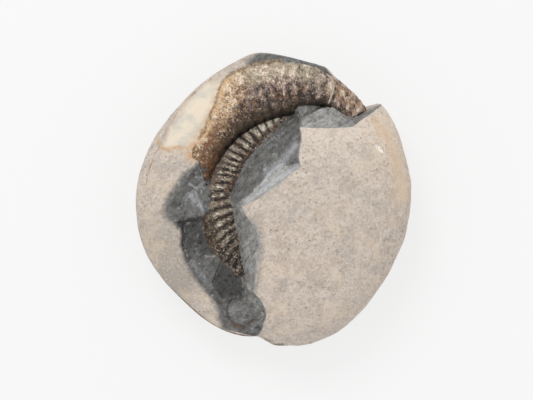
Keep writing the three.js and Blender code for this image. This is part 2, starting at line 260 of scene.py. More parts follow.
# Broken faces and how light their grey is, their own grey together with painted shade on faces turned from the
# lamp and painted light on faces turned to it: (outline, tone)
TONES_WITH_PAINTED_LIGHT = {
    "upper facet": ([(-21.5, 11.4), (-18.8, 9.6), (-18, -3), (-20.2, -4.9), (-28.2, -6.1), (-31, -3.8),
        (-28, 3)], 100),
    "pit": ([(-28.2, -6.1), (-20.2, -4.9), (-19.8, -9.5), (-15, -17.9), (-17.4, -24), (-18.6, -27),
        (-24, -22), (-27.8, -13)], 72),
    "pit, lower part": ([(-26, -15), (-16.2, -16.4), (-15, -17.9), (-17.4, -24), (-18.6, -27),
        (-24, -22)], 88),
    "lower facet": ([(-15, -17.9), (-8.7, -22.8), (-8.2, -25.5), (-9.4, -27.7), (-14.7, -28.7),
        (-17.6, -24.9)], 62),
    "chunk": ([(-8.1, -26.7), (-5.4, -26.2), (-1.6, -31.5), (-3, -36.6), (-10.4, -36.6), (-13.6, -32),
        (-12.4, -29)], 114),
    "left bench": ([(-12.8, 0.3), (-9.7, -2), (-7.4, -6.6), (-6.9, -14.7), (-6.6, -26.3), (-8.4, -24),
        (-10.8, -8)], 131),
    "left strip": ([(-9.7, -2), (-7.4, -6.6), (-6.9, -14.7), (-6.6, -26.3), (-4, -26.3), (-3, -12),
        (-7, -2)], 139),
    "top facet": ([(7.1, 27.5), (7.1, 24.6), (7.7, 20), (24, 19.8), (23, 23.4), (14, 28.5)], 142),
    "notch": ([(22.4, 23.3), (24, 20), (33, 27), (31.5, 29), (26.5, 26)], 112),
    "long facet": ([(7, 27), (8.6, 19), (8.4, 9.6), (3.6, 10.2), (-2.3, 5.6), (-10, -1.4), (-13, 0.3),
        (-6, 14)], 99),
    "scallop": ([(8, 9.6), (3.6, 10), (-2.3, 5.6), (-9.6, -1.2), (-8.7, -2.8), (0, 2.4)], 158),
}

# Crests of the ribs on the second whorl, along its middle
RIB_CRESTS = [
    (1.3, 22.3), (-0.9, 21.7), (-3.3, 21.2), (-5.2, 19.9), (-7.4, 18.5), (-9, 16.8), (-10.5, 14.9),
    (-11.7, 13), (-12.7, 11.3), (-13.4, 9.8), (-13.6, 7.9), (-14.2, 6.1), (-14.4, 3.6), (-14.8, 1.2),
    (-15.1, -1), (-14.8, -4.1), (-14.4, -6.8), (-13.6, -9.4), (-12.7, -11.8), (-11.3, -14.2), (-10.4, -16.8),
]
# How far the ribs lean, by unwound angle, both in degrees
RIB_LEAN = ([-245, -215, -182, -167, -155, -120, 20], [0, 10, 13, 18, 22, 22, 0])
# Unwound angles between which the coil is bared, in degrees
BARED_SPANS = [(40, 180), (-275, -125)]
# Pale seam across the last whorl
SUTURE = [
    (15.8, 36), (16.7, 34.6), (17.5, 32.5), (16.9, 30), (15.9, 27.5),
]

# Girth of the nodule and its length over the top
SKIN_GIRTH, SKIN_ARC = 252, 120
# Spacing of points on the skin, on the broken faces and along the bared and the hidden coil
SKIN_CELL = 0.8
BREAK_CELL = 0.5
BARED_STEP = 0.22
HIDDEN_STEP = 1.2
# Depth of the trough that the broken surface keeps under the whorls, and height of the cutter's top
UNDER_WHORLS = 0.4
CUTTER_TOP = 32

# Flakes off the tip, off the top edge and off the last whorl's end: (middle, reach, flat cracks), each
# crack as (at, compass direction, lean)
TIP_FLAKE = ((32, 34, 0), 30, [((25.7, 25.1, 0), 113, 7), ((20.8, 30, 0), 36, 8)])
TOP_FLAKE = ((6, 44, 10), 20, [((7, 41.2, 1.2), 78, 42), ((-12, 40, 0), 0, 0)])
END_FLAKE = ((-29, 3, 0), 12.5, [((-20.8, 8.9, 6.5), 212, 25)])

# Camera above the stone, with the width of its view in metres
CAMERA_AT = (-1.88, -0.29)
LENS, SENSOR = 200, 36
VIEW_WIDTH = 0.154
# Lamp over the upper left, in metres and watts
LAMP_AT, LAMP_TARGET = (-0.16, 0.36, 0.6), (0, 0, 0.015)
LAMP_SIZE, LAMP_POWER = 0.3, 1.3


def smooth_loop(points, steps):
    """Points on a closed centripetal spline through a list of points."""
    here = np.array(points, float)
    before, after, later = np.roll(here, 1, 0), np.roll(here, -1, 0), np.roll(here, -2, 0)

    def gap(a, b):
        return np.sqrt(np.linalg.norm(b - a, axis=1))[:, None]

    g0, g1, g2 = gap(before, here), gap(here, after), gap(after, later)
    leave = ((here - before) / g0 - (after - before) / (g0 + g1) + (after - here) / g1) * g1
    arrive = ((after - here) / g1 - (later - here) / (g1 + g2) + (later - after) / g2) * g1
    made = []
    for t in np.arange(steps) / steps:
        made.append((2 * t**3 - 3 * t**2 + 1) * here + (t**3 - 2 * t**2 + t) * leave
                    + (3 * t**2 - 2 * t**3) * after + (t**3 - t**2) * arrive)
    return np.stack(made, 1).reshape(-1, here.shape[1])


RIM = smooth_loop(OUTLINE, 24) - CROWN
RIM_ANGLES = np.arctan2(RIM[:, 1], RIM[:, 0])
RIM_DISTANCES = np.hypot(RIM[:, 0], RIM[:, 1])
RIM_ORDER = np.argsort(RIM_ANGLES)


def rim_distance(angle):
    """Distance from the crown to the nodule's outline, in a compass direction."""
    return np.interp(angle, RIM_ANGLES[RIM_ORDER], RIM_DISTANCES[RIM_ORDER], period=TURN)


def dome_fullness(angle):
    return DOME_FULLNESS[0] + DOME_FULLNESS[1] * np.cos(angle)


def dome_height(x, y):
    """Height of the unbroken dome above the coil's plane."""
    angle = np.arctan2(y - CROWN[1], x - CROWN[0])
    share = np.minimum(1, np.hypot(x - CROWN[0], y - CROWN[1]) / rim_distance(angle))
    power = dome_fullness(angle)
    return DOME_RISE * (1 - share**power) ** (1 / power)


def dome_at(x, y):
    return float(dome_height(np.array([x]), np.array([y]))[0])


def outer_radius(angle):
    """Distance of the whorl's outer side from the coil's centre, at an unwound angle."""
    crushed = 1 - CRUSHING * np.maximum(0, np.cos(angle))
    for at, width, more in BULGES:
        crushed = crushed + more * np.exp(-(((angle - math.radians(at)) / math.radians(width)) ** 2))
    return COIL_RADIUS * WHORL_GROWTH ** ((angle - math.pi / 2) / TURN) * crushed


def whorl_section(angle):
    """Middle radius and half width of the whorl at an unwound angle."""
    outer = outer_radius(angle)
    inner = WHORL_OVERLAP * outer_radius(angle - TURN)
    return (outer + inner) / 2, (outer - inner) / 2


def whorl_height(x, y):
    """Height of the fossil's upper side above the coil's plane, nothing beside it."""
    radius = np.hypot(x - COIL_CENTRE[0], y - COIL_CENTRE[1])
    compass = np.arctan2(y - COIL_CENTRE[1], x - COIL_CENTRE[0])
    top = np.zeros_like(radius)
    for turns in (1, 0, -1, -2):
        angle = compass + turns * TURN
        middle, half = whorl_section(angle)
        beside = np.abs(radius - middle) / half
        full = np.where((angle > LAST_START) & (radius < middle), LAST_FULLNESS, 1)
        height = half * WHORL_THICKNESS * np.sqrt(np.maximum(0, 1 - beside ** (2 / full))) ** full
        top = np.maximum(top, np.where(angle <= LAST_END, height, 0))
    return top


def thin_plate(points):
    """A smooth surface through points (x, y, height), as a function of x and y."""
    table = np.array(points, float)
    count = len(table)

    def kernel(x, y):
        square = (x[:, None] - table[:, 0]) ** 2 + (y[:, None] - table[:, 1]) ** 2
        return 0.5 * square * np.log(square + 1e-9)

    flat = np.c_[np.ones(count), table[:, :2]]
    system = np.zeros((count + 3, count + 3))
    system[:count, :count] = kernel(table[:, 0], table[:, 1]) + 2.0 * np.eye(count)
    system[:count, count:] = flat
    system[count:, :count] = flat.T
    weights = np.linalg.solve(system, np.r_[table[:, 2], 0, 0, 0])

    def height(x, y):
        level, along_x, along_y = weights[count:]
        return kernel(x, y) @ weights[:count] + level + along_x * x + along_y * y

    return height


worn_height = thin_plate(WORN)


def soft_minimum(a, b, width):
    """The lower of two heights, rounded where they meet."""
    near = np.maximum(width - np.abs(a - b), 0) / width
    return np.minimum(a, b) - near**2 * width / 4


def inside(x, y, loop):
    """Whether points lie in a closed outline."""
    loop = np.array(loop, float)[:, :2]
    within = np.zeros(len(x), bool)
    for (ax, ay), (bx, by) in zip(loop, np.roll(loop, -1, 0)):
        crosses = (ay > y) != (by > y)
        if crosses.any():
            at = ax + (y - ay) * (bx - ax) / ((by - ay) or 1e-12)
            within ^= crosses & (x < at)
    return within


def distance_to(x, y, line, closed=False):
    """Distance from points to a line of points."""
    line = np.array(line, float)[:, :2]
    ends = np.roll(line, -1, 0) if closed else line[1:]
    nearest = np.full(np.shape(x), 1e9)
    for (ax, ay), (bx, by) in zip(line, ends):
        dx, dy = bx - ax, by - ay
        share = np.clip(((x - ax) * dx + (y - ay) * dy) / (dx * dx + dy * dy + 1e-12), 0, 1)
        nearest = np.minimum(nearest, np.hypot(x - ax - share * dx, y - ay - share * dy))
    return nearest


def depth_inside(x, y, loop, edge=None):
    """Distance to a closed outline, or to one edge of it, above 0 for points inside the outline."""
    distance = distance_to(x, y, edge or loop, closed=edge is None)
    return np.where(inside(x, y, loop), 1, -1) * distance


def step(low, high, value):
    """Smooth step from 0 at low to 1 at high."""
    share = np.clip((value - low) / (high - low), 0, 1)
    return share * share * (3 - 2 * share)


def inset(line, amount):
    """A closed outline moved to the left of its direction, and which of its points are kept."""
    points = np.array(line, float)[:, :2]
    along = np.roll(points, -1, 0) - np.roll(points, 1, 0)
    along /= np.linalg.norm(along, axis=1)[:, None] + 1e-9
    moved = points + amount * np.c_[-along[:, 1], along[:, 0]]
    clear = inside(*moved.T, points) & (distance_to(*moved.T, points, closed=True) > 0.85 * amount)
    return moved[clear], clear


def break_outline():
    """The break seen from above, anticlockwise, with the heights of its edge."""
    # The brow is walked from the lower edge up to the tip, so that the break lies on its left.
    up = [(x, y, dome_at(x, y) + 0.02) for x, y in np.array(BROW)[::-1]]
    outside = [(42, 33, 4), (34, 42, 0)]
    whorl = np.array(LAST_WHORL_SIDE[::-1])
    along = np.gradient(whorl, axis=0)
    along /= np.linalg.norm(along, axis=1)[:, None] + 1e-9
    over = whorl - 0.5 * np.c_[-along[:, 1], along[:, 0]]
    edges = [(over, 0.6), (np.array(FLANK_EDGE), 0.5)]
    down = [(x, y, h) for edge, above in edges for (x, y), h in zip(edge, worn_height(*edge.T) + above)]
    return up + outside + down


def densified(loop, spacing):
    """A closed outline with points no further apart than a spacing."""
    points = []
    for a, b in zip(np.array(loop), np.roll(np.array(loop), -1, 0)):
        parts = max(1, math.ceil(float(np.linalg.norm(b - a)) / spacing))
        points += [tuple(a + (b - a) * k / parts) for k in range(parts)]
    return points


def break_lines():
    """All creases of the broken surface as lists of (x, y, height), the outline first."""
    fossil = densified(BARED, 1.2)
    edge = np.array(fossil)
    sunk = np.maximum(whorl_height(*edge.T) - 0.15, 0.6)
    shallow, kept = inset(fossil, 0.35)
    under = np.where(whorl_height(*shallow.T) > 1, whorl_height(*shallow.T) - 0.7, sunk[kept])
    loops = [
        break_outline(),
        [(x, y, h) for (x, y), h in zip(edge, sunk)],
        [(x, y, h) for (x, y), h in zip(shallow, np.minimum(under, sunk[kept] - 0.25))],
        [(x, y, UNDER_WHORLS) for x, y in inset(fossil, 1.3)[0]],
    ]
    lines = [loop + loop[:1] for loop in loops]
    for crease in CREASES.values():
        lines.append([(x, y, dome_at(x, y) if h is None else h) for x, y, h in crease])
    return lines


def triangulated(points, edges):
    """Triangles between points, with the edges kept: positions, triangles, and each position's sources."""
    made = geometry.delaunay_2d_cdt([Vector(point) for point in points], edges, [], 0, 1e-4)
    return np.array([tuple(v) for v in made[0]]), np.array(made[2]), made[3]


def facet_surface(lines):
    """The broken surface as flat faces between its creases, as a function of x and y."""
    points, edges, heights = [], [], []
    for line in lines:
        start = len(points)
        points += [(x, y) for x, y, _ in line]
        heights += [h for _, _, h in line]
        edges += [(start + i, start + i + 1) for i in range(len(line) - 1)]
    places, triangles, origins = triangulated(points, edges)
    level = np.zeros(len(places))
    known = np.zeros(len(places), bool)
    for i, sources in enumerate(origins):
        if sources:
            level[i] = np.mean([heights[s] for s in sources])
            known[i] = True
    for i in np.flatnonzero(~known):
        near = np.argmin(np.where(known, np.hypot(*(places - places[i]).T), 1e9))
        level[i] = level[near]
    corners = places[triangles]

    def height(x, y):
        found = np.full(len(x), -50.0)
        for (a, b, c), (ha, hb, hc) in zip(corners, level[triangles]):
            (low_x, low_y), (high_x, high_y) = np.min([a, b, c], 0) - 1e-6, np.max([a, b, c], 0) + 1e-6
            near = np.flatnonzero((x >= low_x) & (x <= high_x) & (y >= low_y) & (y <= high_y))
            area = (b[0] - a[0]) * (c[1] - a[1]) - (c[0] - a[0]) * (b[1] - a[1])
            if not len(near) or abs(area) < 1e-9:
                continue
            px, py = x[near], y[near]
            v = ((px - a[0]) * (c[1] - a[1]) - (c[0] - a[0]) * (py - a[1])) / area
            w = ((b[0] - a[0]) * (py - a[1]) - (px - a[0]) * (b[1] - a[1])) / area
            good = (v >= -1e-4) & (w >= -1e-4) & (v + w <= 1 + 1e-4)
            found[near[good]] = (ha + v * (hb - ha) + w * (hc - ha))[good]
        return found

    return height


def deselect():
    if bpy.context.object and bpy.context.object.mode != "OBJECT":
        bpy.ops.object.mode_set(mode="OBJECT")
    bpy.ops.object.select_all(action="DESELECT")


def make_active(piece):
    deselect()
    piece.select_set(True)
    bpy.context.view_layer.objects.active = piece


@contextmanager
def editing(piece, select="SELECT"):
    """Edit mode on a piece, with all of it selected at first, nothing, or what was selected before."""
    make_active(piece)
    bpy.ops.object.mode_set(mode="EDIT")
    if select:
        bpy.ops.mesh.select_all(action=select)
    yield
    bpy.ops.object.mode_set(mode="OBJECT")


def positions(piece):
    """Points of a piece in millimetres."""
    flat = np.empty(len(piece.data.vertices) * 3)
    piece.data.vertices.foreach_get("co", flat)
    return flat.reshape(-1, 3) / MM


def place(piece, points):
    piece.data.vertices.foreach_set("co", (points * MM).ravel())
    piece.data.update()


def new_piece(name, points, faces):
    mesh = bpy.data.meshes.new(name)
    mesh.from_pydata((np.asarray(points) * MM).tolist(), [], [tuple(f) for f in faces])
    mesh.update()
    piece = bpy.data.objects.new(name, mesh)
    bpy.context.scene.collection.objects.link(piece)
    return piece


def add_attributes(piece, **values):
    for name, numbers in values.items():
        layer = piece.data.attributes.new(name, "FLOAT", "POINT")
        layer.data.foreach_set("value", np.asarray(numbers, np.float32).ravel())


def apply_modifier(piece, kind, **settings):
    make_active(piece)
    modifier = piece.modifiers.new(kind.title(), kind)
    for key, value in settings.items():
        setattr(modifier, key, value)
    bpy.ops.object.modifier_apply(modifier=modifier.name)


def cut_with(piece, cutter):
    apply_modifier(piece, "BOOLEAN", operation="DIFFERENCE", solver="MANIFOLD", object=cutter)
    bpy.data.objects.remove(cutter)


def drop_specks(piece):
    """Delete what a cut left loose beside the main body."""
    with editing(piece, "DESELECT"):
        pass
    # Its rightmost point belongs to the main body.
    piece.data.vertices[int(np.argmax(positions(piece)[:, 0]))].select = True
    with editing(piece, None):
        bpy.ops.mesh.select_linked()
        bpy.ops.mesh.select_all(action="INVERT")
        bpy.ops.mesh.delete(type="VERT")


def whole_stone():
    """The nodule before the break, with its worn flank and shelf."""
    deselect()
    around, upwards = round(SKIN_GIRTH / SKIN_CELL), round(SKIN_ARC / SKIN_CELL)
    bpy.ops.mesh.primitive_uv_sphere_add(segments=around, ring_count=upwards, radius=1)
    stone = bpy.context.object
    stone.name = stone.data.name = "stone"
    x, y, up = (positions(stone) * MM).T
    angle = np.arctan2(y, x)
    upper = up > 0
    power = np.where(upper, dome_fullness(angle), BELLY_FULLNESS)
    reach = rim_distance(angle) * np.hypot(x, y) ** (2 / power)
    rise = np.where(upper, DOME_RISE, BELLY_DROP) * np.sign(up) * np.abs(up) ** (2 / power)
    x, y = CROWN[0] + reach * np.cos(angle), CROWN[1] + reach * np.sin(angle)
    side = depth_inside(x, y, WORN_SIDE)
    worn = soft_minimum(worn_height(x, y), rise, 3.0)
    rise = np.where(upper & (rise > 0), rise + (worn - rise) * step(-0.5, 0.5, side), rise)
    place(stone, np.c_[x, y, np.maximum(0, COIL_LEVEL + rise)])
    return stone


def break_cutter(lines, surface):
    """A solid whose underside is the broken surface."""
    points, edges = [], []
    for line in lines:
        line = np.array(line)[:, :2]
        for a, b in zip(line, line[1:]):
            parts = max(1, round(float(np.linalg.norm(b - a)) / BREAK_CELL))
            for k in range(parts):
                points.append(tuple(a + (b - a) * k / parts))
                edges.append((len(points) - 1, len(points)))
        points.append(tuple(line[-1]))
    outline = np.array(lines[0])[:-1, :2]
    low, high = outline.min(0), outline.max(0)
    rows = np.arange(low[1], high[1], BREAK_CELL * 0.866)
    grid = np.array([(x + (i % 2) * BREAK_CELL / 2, y) for i, y in enumerate(rows)
                     for x in np.arange(low[0], high[0], BREAK_CELL)])
    keep = inside(*grid.T, outline)
    for line in lines:
        keep[keep] &= distance_to(*grid[keep].T, line) > BREAK_CELL * 0.55
    places, triangles, _ = triangulated(points + [tuple(p) for p in grid[keep]], edges)
    triangles = triangles[inside(*places[triangles].mean(1).T, outline)]
    heights = surface(*places.T)
    cutter = new_piece("break", np.c_[places, heights + COIL_LEVEL], triangles)
    with editing(cutter):
        bpy.ops.mesh.delete_loose()
        bpy.ops.mesh.select_all(action="SELECT")
        bpy.ops.mesh.normals_make_consistent(inside=False)
        bpy.ops.mesh.extrude_region_move(TRANSFORM_OT_translate={"value": (0, 0, 40 * MM)})
    points = positions(cutter)
    points[:, 2] = np.where(points[:, 2] > COIL_LEVEL + 25, COIL_LEVEL + CUTTER_TOP, points[:, 2])
    place(cutter, points)
    with editing(cutter):
        bpy.ops.mesh.normals_make_consistent(inside=False)
    return cutter


def mark_strength(x, y, table):
    """How strong a table's marks are at points, from 0 to 1."""
    amount = np.zeros(len(x))
    for line, width, strength in table:
        amount = np.maximum(amount, strength * np.exp(-((distance_to(x, y, line) / width) ** 2)))
    return amount


def mark_stone(stone):
    """Attributes that tell the material where skin, break and stains lie, and where it paints light and shade.
    """
    x, y, height = positions(stone).T
    height = height - COIL_LEVEL
    above = step(-3.0, 0.0, height)
    depth = np.where(height > 0, dome_height(x, y) - height, 0)
    break_side = FLANK_EDGE[::-1] + LAST_WHORL_SIDE + [(70, 40), (70, -60), (-14, -60)]
    side = depth_inside(x, y, break_side, FLANK_EDGE[:-1])
    blurred = step(-10.5, -6.5, y) * step(10, 7, y)
    blurred_low = step(-12, -17, y)
    grey = step(-1.1 - 2.6 * blurred - 0.9 * blurred_low, 0.7 + 1.0 * blurred_low, side)
    rim = step(4.6, 2.2, distance_to(x, y, LAST_WHORL_SIDE[8:])) * step(-12, -4, x) * (y > 20)
    # Each broken face's grey: its own tone with painted shade and painted light by how the face is turned to
    # the lamp.
    tone = np.full(len(x), 100.0)
    for outline, value in TONES_WITH_PAINTED_LIGHT.values():
        tone[inside(x, y, outline)] = value
    creases = [distance_to(x, y, line) for line in [*CREASES.values(), FOOT]]
    # Painted shade: the lower left flank, turned away from the lamp, is made darker.
    dull = step(2, -14, y) * step(-12, -20, x - 0.25 * np.minimum(y, 0)) * (1 + 0.42 * step(-16, -28, y))
    add_attributes(
        stone, depth=depth, grey=np.maximum(grey, rim) * above, tone=linear(tone), dull=dull,
        cream=above * step(-1.2, 1.2, depth_inside(x, y, CREAM)),
        hairline=np.where(height > -2, distance_to(x, y, RIM_HAIRLINE), 9),
        crease=np.min(creases, axis=0), crack=distance_to(x, y, CREASES["crack"][:3]),
        fringe=mark_strength(x, y, FRINGE) * step(-7, -1, height),
        bruise=step(2.2, 0, distance_to(x, y, BROW[23:32])) * above,
        # Painted light: the top of the cover is made lighter, as if lit from above.
        bright=step(4, 22, y) * step(0, 6, x) * above,
        crusty=np.exp(-((distance_to(x, y, LAST_WHORL_SIDE[3:13]) / 1.3) ** 2)) * above,
        **{name: mark_strength(x, y, table) * above for name, table in STAINS_AND_GAP_SHADE.items()})


def weights(piece, name, values):
    """A vertex group with a weight for each vertex."""
    group = piece.vertex_groups.new(name=name)
    levels = np.round(np.clip(values, 0, 1) * 20).astype(int)
    for level in range(1, 21):
        group.add(np.flatnonzero(levels == level).tolist(), level / 20, "REPLACE")


def roughen(piece, name, size, strength, group, detail):
    """Displaces a piece along its normals by noise of a size in millimetres and a strength in metres."""
    texture = bpy.data.textures.new(name, "CLOUDS")
    texture.noise_scale = size * MM
    texture.noise_depth = detail
    apply_modifier(piece, "DISPLACE", texture=texture, strength=strength, mid_level=0.5, vertex_group=group,
                   texture_coords="LOCAL")


def flake(middle, reach, cracks):
    """A flake within its reach, in front of its flat cracks (at, compass direction, lean)."""
    deselect()
    centre = Vector((middle[0], middle[1], middle[2] + COIL_LEVEL)) * MM
    bpy.ops.mesh.primitive_ico_sphere_add(subdivisions=3, radius=reach * MM, location=centre)
    bpy.ops.object.transform_apply()
    piece = bpy.context.object
    for (x, y, height), compass, lean in cracks:
        a, b = math.radians(compass), math.radians(lean)
        normal = (math.cos(b) * math.cos(a), math.cos(b) * math.sin(a), math.sin(b))
        with editing(piece):
            bpy.ops.mesh.bisect(plane_co=(x * MM, y * MM, (height + COIL_LEVEL) * MM), plane_no=normal,
                                use_fill=True, clear_inner=True)
    return piece


def linear(screen):
    """Light of a grey as seen on screen, 0 to 255, as the shader needs it."""
    return ((screen / 255 + 0.055) / 1.055) ** 2.4


def srgb(red, green, blue):
    """A colour as seen on screen, 0 to 255, as the shader needs it."""
    return tuple(linear(c) if c > 10 else c / 255 / 12.92 for c in (red, green, blue)) + (1,)


def size_property(name, description, millimetres):
    return FloatProperty(name=name, description=description, default=millimetres * MM, min=0, max=2 * MM,
                         precision=5, unit="LENGTH")


def colour_property(name, description, *screen):
    return FloatVectorProperty(name=name, description=description, default=srgb(*screen), size=4, min=0, max=1,
                               subtype="COLOR")


class FossilSizes(bpy.types.PropertyGroup):
    """How high the relief stands on the stone and on the coil"""

    swell: size_property("Swell", "Height of the broad waves of the stone", 0.55)
    pitting: size_property("Pitting", "Height of the fine grain of the stone", 0.28)
    fracture: size_property("Fracture", "Height of the shell-shaped waves on the broken faces", 0.75)
    hackle: size_property("Hackle", "Height of the splintery grain on the broken faces", 0.3)
    ribs: size_property("Ribs", "Half the height of the ribs on the inner whorls", 0.42)
    last_ribs: size_property("Last whorl's ribs", "Half the height of the ribs on the last whorl", 0.2)
    crust: size_property("Crust", "Height of the lumps on the last whorl", 0.9)
    wear: size_property("Wear", "Height of the worn patches on the inner whorls", 0.5)


class FossilColours(bpy.types.PropertyGroup):
    """Main colours of the stone and of the shell"""

    skin: colour_property("Skin", "Weathered outside of the stone", 208, 195, 184)
    skin_shade: colour_property("Skin's shade", "Darker patches of the skin", 184, 172, 161)
    cream: colour_property("Cream", "Patch beside the last whorl", 227, 214, 194)
    rust: colour_property("Rust", "Iron stains on the stone", 196, 148, 96)
    band: colour_property("Band", "Tan band at the right end", 216, 193, 166)
    shell: colour_property("Shell", "Brown of the ribs", 122, 104, 90)
    # Painted shade in the troughs between the ribs
    groove_shade: colour_property("Groove", "Dark between the ribs", 32, 22, 16)
    crust: colour_property("Crust", "Brown of the last whorl", 126, 98, 76)


class Recipe:
    """A material under construction. Values are numbers, colours as seen on screen, or sockets."""

    def __init__(self, name):
        self.material = bpy.data.materials.new(name)
        self.material.use_nodes = True
        self.tree = self.material.node_tree
        self.place = self.node("ShaderNodeTexCoord").outputs["Object"]
        axes = self.node("ShaderNodeSeparateXYZ")
        self.put(axes.inputs[0], self.place)
        self.x, self.y = axes.outputs[0], axes.outputs[1]

    def node(self, kind, **settings):
        made = self.tree.nodes.new(kind)
        for key, value in settings.items():
            setattr(made, key, value)
        return made

    def put(self, socket, value):
        if isinstance(value, bpy.types.NodeSocket):
            self.tree.links.new(value, socket)
        else:
            screen = isinstance(value, tuple) and len(value) == 3
            socket.default_value = srgb(*value) if screen else value

    def mark(self, name):
        """An attribute of the piece."""
        return self.node("ShaderNodeAttribute", attribute_name=name).outputs["Fac"]

    def math(self, operation, *values):
        made = self.node("ShaderNodeMath", operation=operation)
        for socket, value in zip(made.inputs, values):
            self.put(socket, value)
        return made.outputs[0]

    def times(self, first, *others):
        for other in others:
            first = self.math("MULTIPLY", first, other)
        return first

    def total(self, first, *others):
        """The sum of parts, each a value with its factor and offset."""
        made = self.math("MULTIPLY_ADD", *first)
        for other in others:
            made = self.math("ADD", made, self.math("MULTIPLY_ADD", *other))
        return made

    def join(self, x, y):
        made = self.node("ShaderNodeCombineXYZ")
        self.put(made.inputs[0], x)
        self.put(made.inputs[1], y)
        return made.outputs[0]

    def noise(self, size, detail=3, roughness=0.55, distortion=0, where=None):
        """Noise with features of about size millimetres."""
        made = self.node("ShaderNodeTexNoise")
        self.put(made.inputs["Vector"], where or self.place)
        made.inputs["Scale"].default_value = 1 / (size * MM)
        made.inputs["Detail"].default_value = detail
        made.inputs["Roughness"].default_value = roughness
        made.inputs["Distortion"].default_value = distortion
        return made.outputs["Fac"]

    def cells(self, size):
        """Distance to the middle of the nearest cell, for cells of about size millimetres."""
        made = self.node("ShaderNodeTexVoronoi")
        self.put(made.inputs["Vector"], self.place)
        made.inputs["Scale"].default_value = 1 / (size * MM)
        return made.outputs["Distance"]

    def between(self, low, high, value):
        """0 at low, 1 at high, smooth between."""
        made = self.node("ShaderNodeMapRange", interpolation_type="SMOOTHSTEP")
        self.put(made.inputs["Value"], value)
        made.inputs["From Min"].default_value = low
        made.inputs["From Max"].default_value = high
        return made.outputs["Result"]

    def by_x(self, low, high):
        """0 and 1 at two places from left to right, in millimetres."""
        return self.between(low * MM, high * MM, self.x)

    def by_y(self, low, high):
        return self.between(low * MM, high * MM, self.y)

    def spots(self, low, high, *noise):
        return self.between(low, high, self.noise(*noise))

    def waver(self, strength, *noise):
        """Noise around 0."""
        return self.times(self.math("SUBTRACT", self.noise(*noise), 0.5), strength)

    def lines(self, width, *noise):
        """Thin lines where a noise passes its middle."""
        return self.between(width, 0, self.math("ABSOLUTE", self.math("SUBTRACT", self.noise(*noise), 0.5)))

    def mix(self, share, a, b):
        made = self.node("ShaderNodeMix", data_type="RGBA")
        self.put(made.inputs[0], share)
        self.put(made.inputs[6], a)
        self.put(made.inputs[7], b)
        return made.outputs[2]

    def layers(self, colour, *coats):
        """A colour under coats, each the factors of its share and then its colour."""
        for *shares, coat in coats:
            colour = self.mix(self.times(*shares), colour, coat)
        return colour

    def finish(self, colour, roughness, relief, depth, specular):
        """The material, with relief as deep as depth in millimetres."""
        bump = self.node("ShaderNodeBump")
        self.put(bump.inputs["Distance"], depth * MM)
        self.put(bump.inputs["Strength"], 1)
        self.put(bump.inputs["Height"], relief)
        shader = self.tree.nodes["Principled BSDF"].inputs
        self.put(shader["Base Color"], colour)
        self.put(shader["Roughness"], roughness)
        self.put(shader["Normal"], bump.outputs["Normal"])
        self.put(shader["Specular IOR Level"], specular)
        return self.material


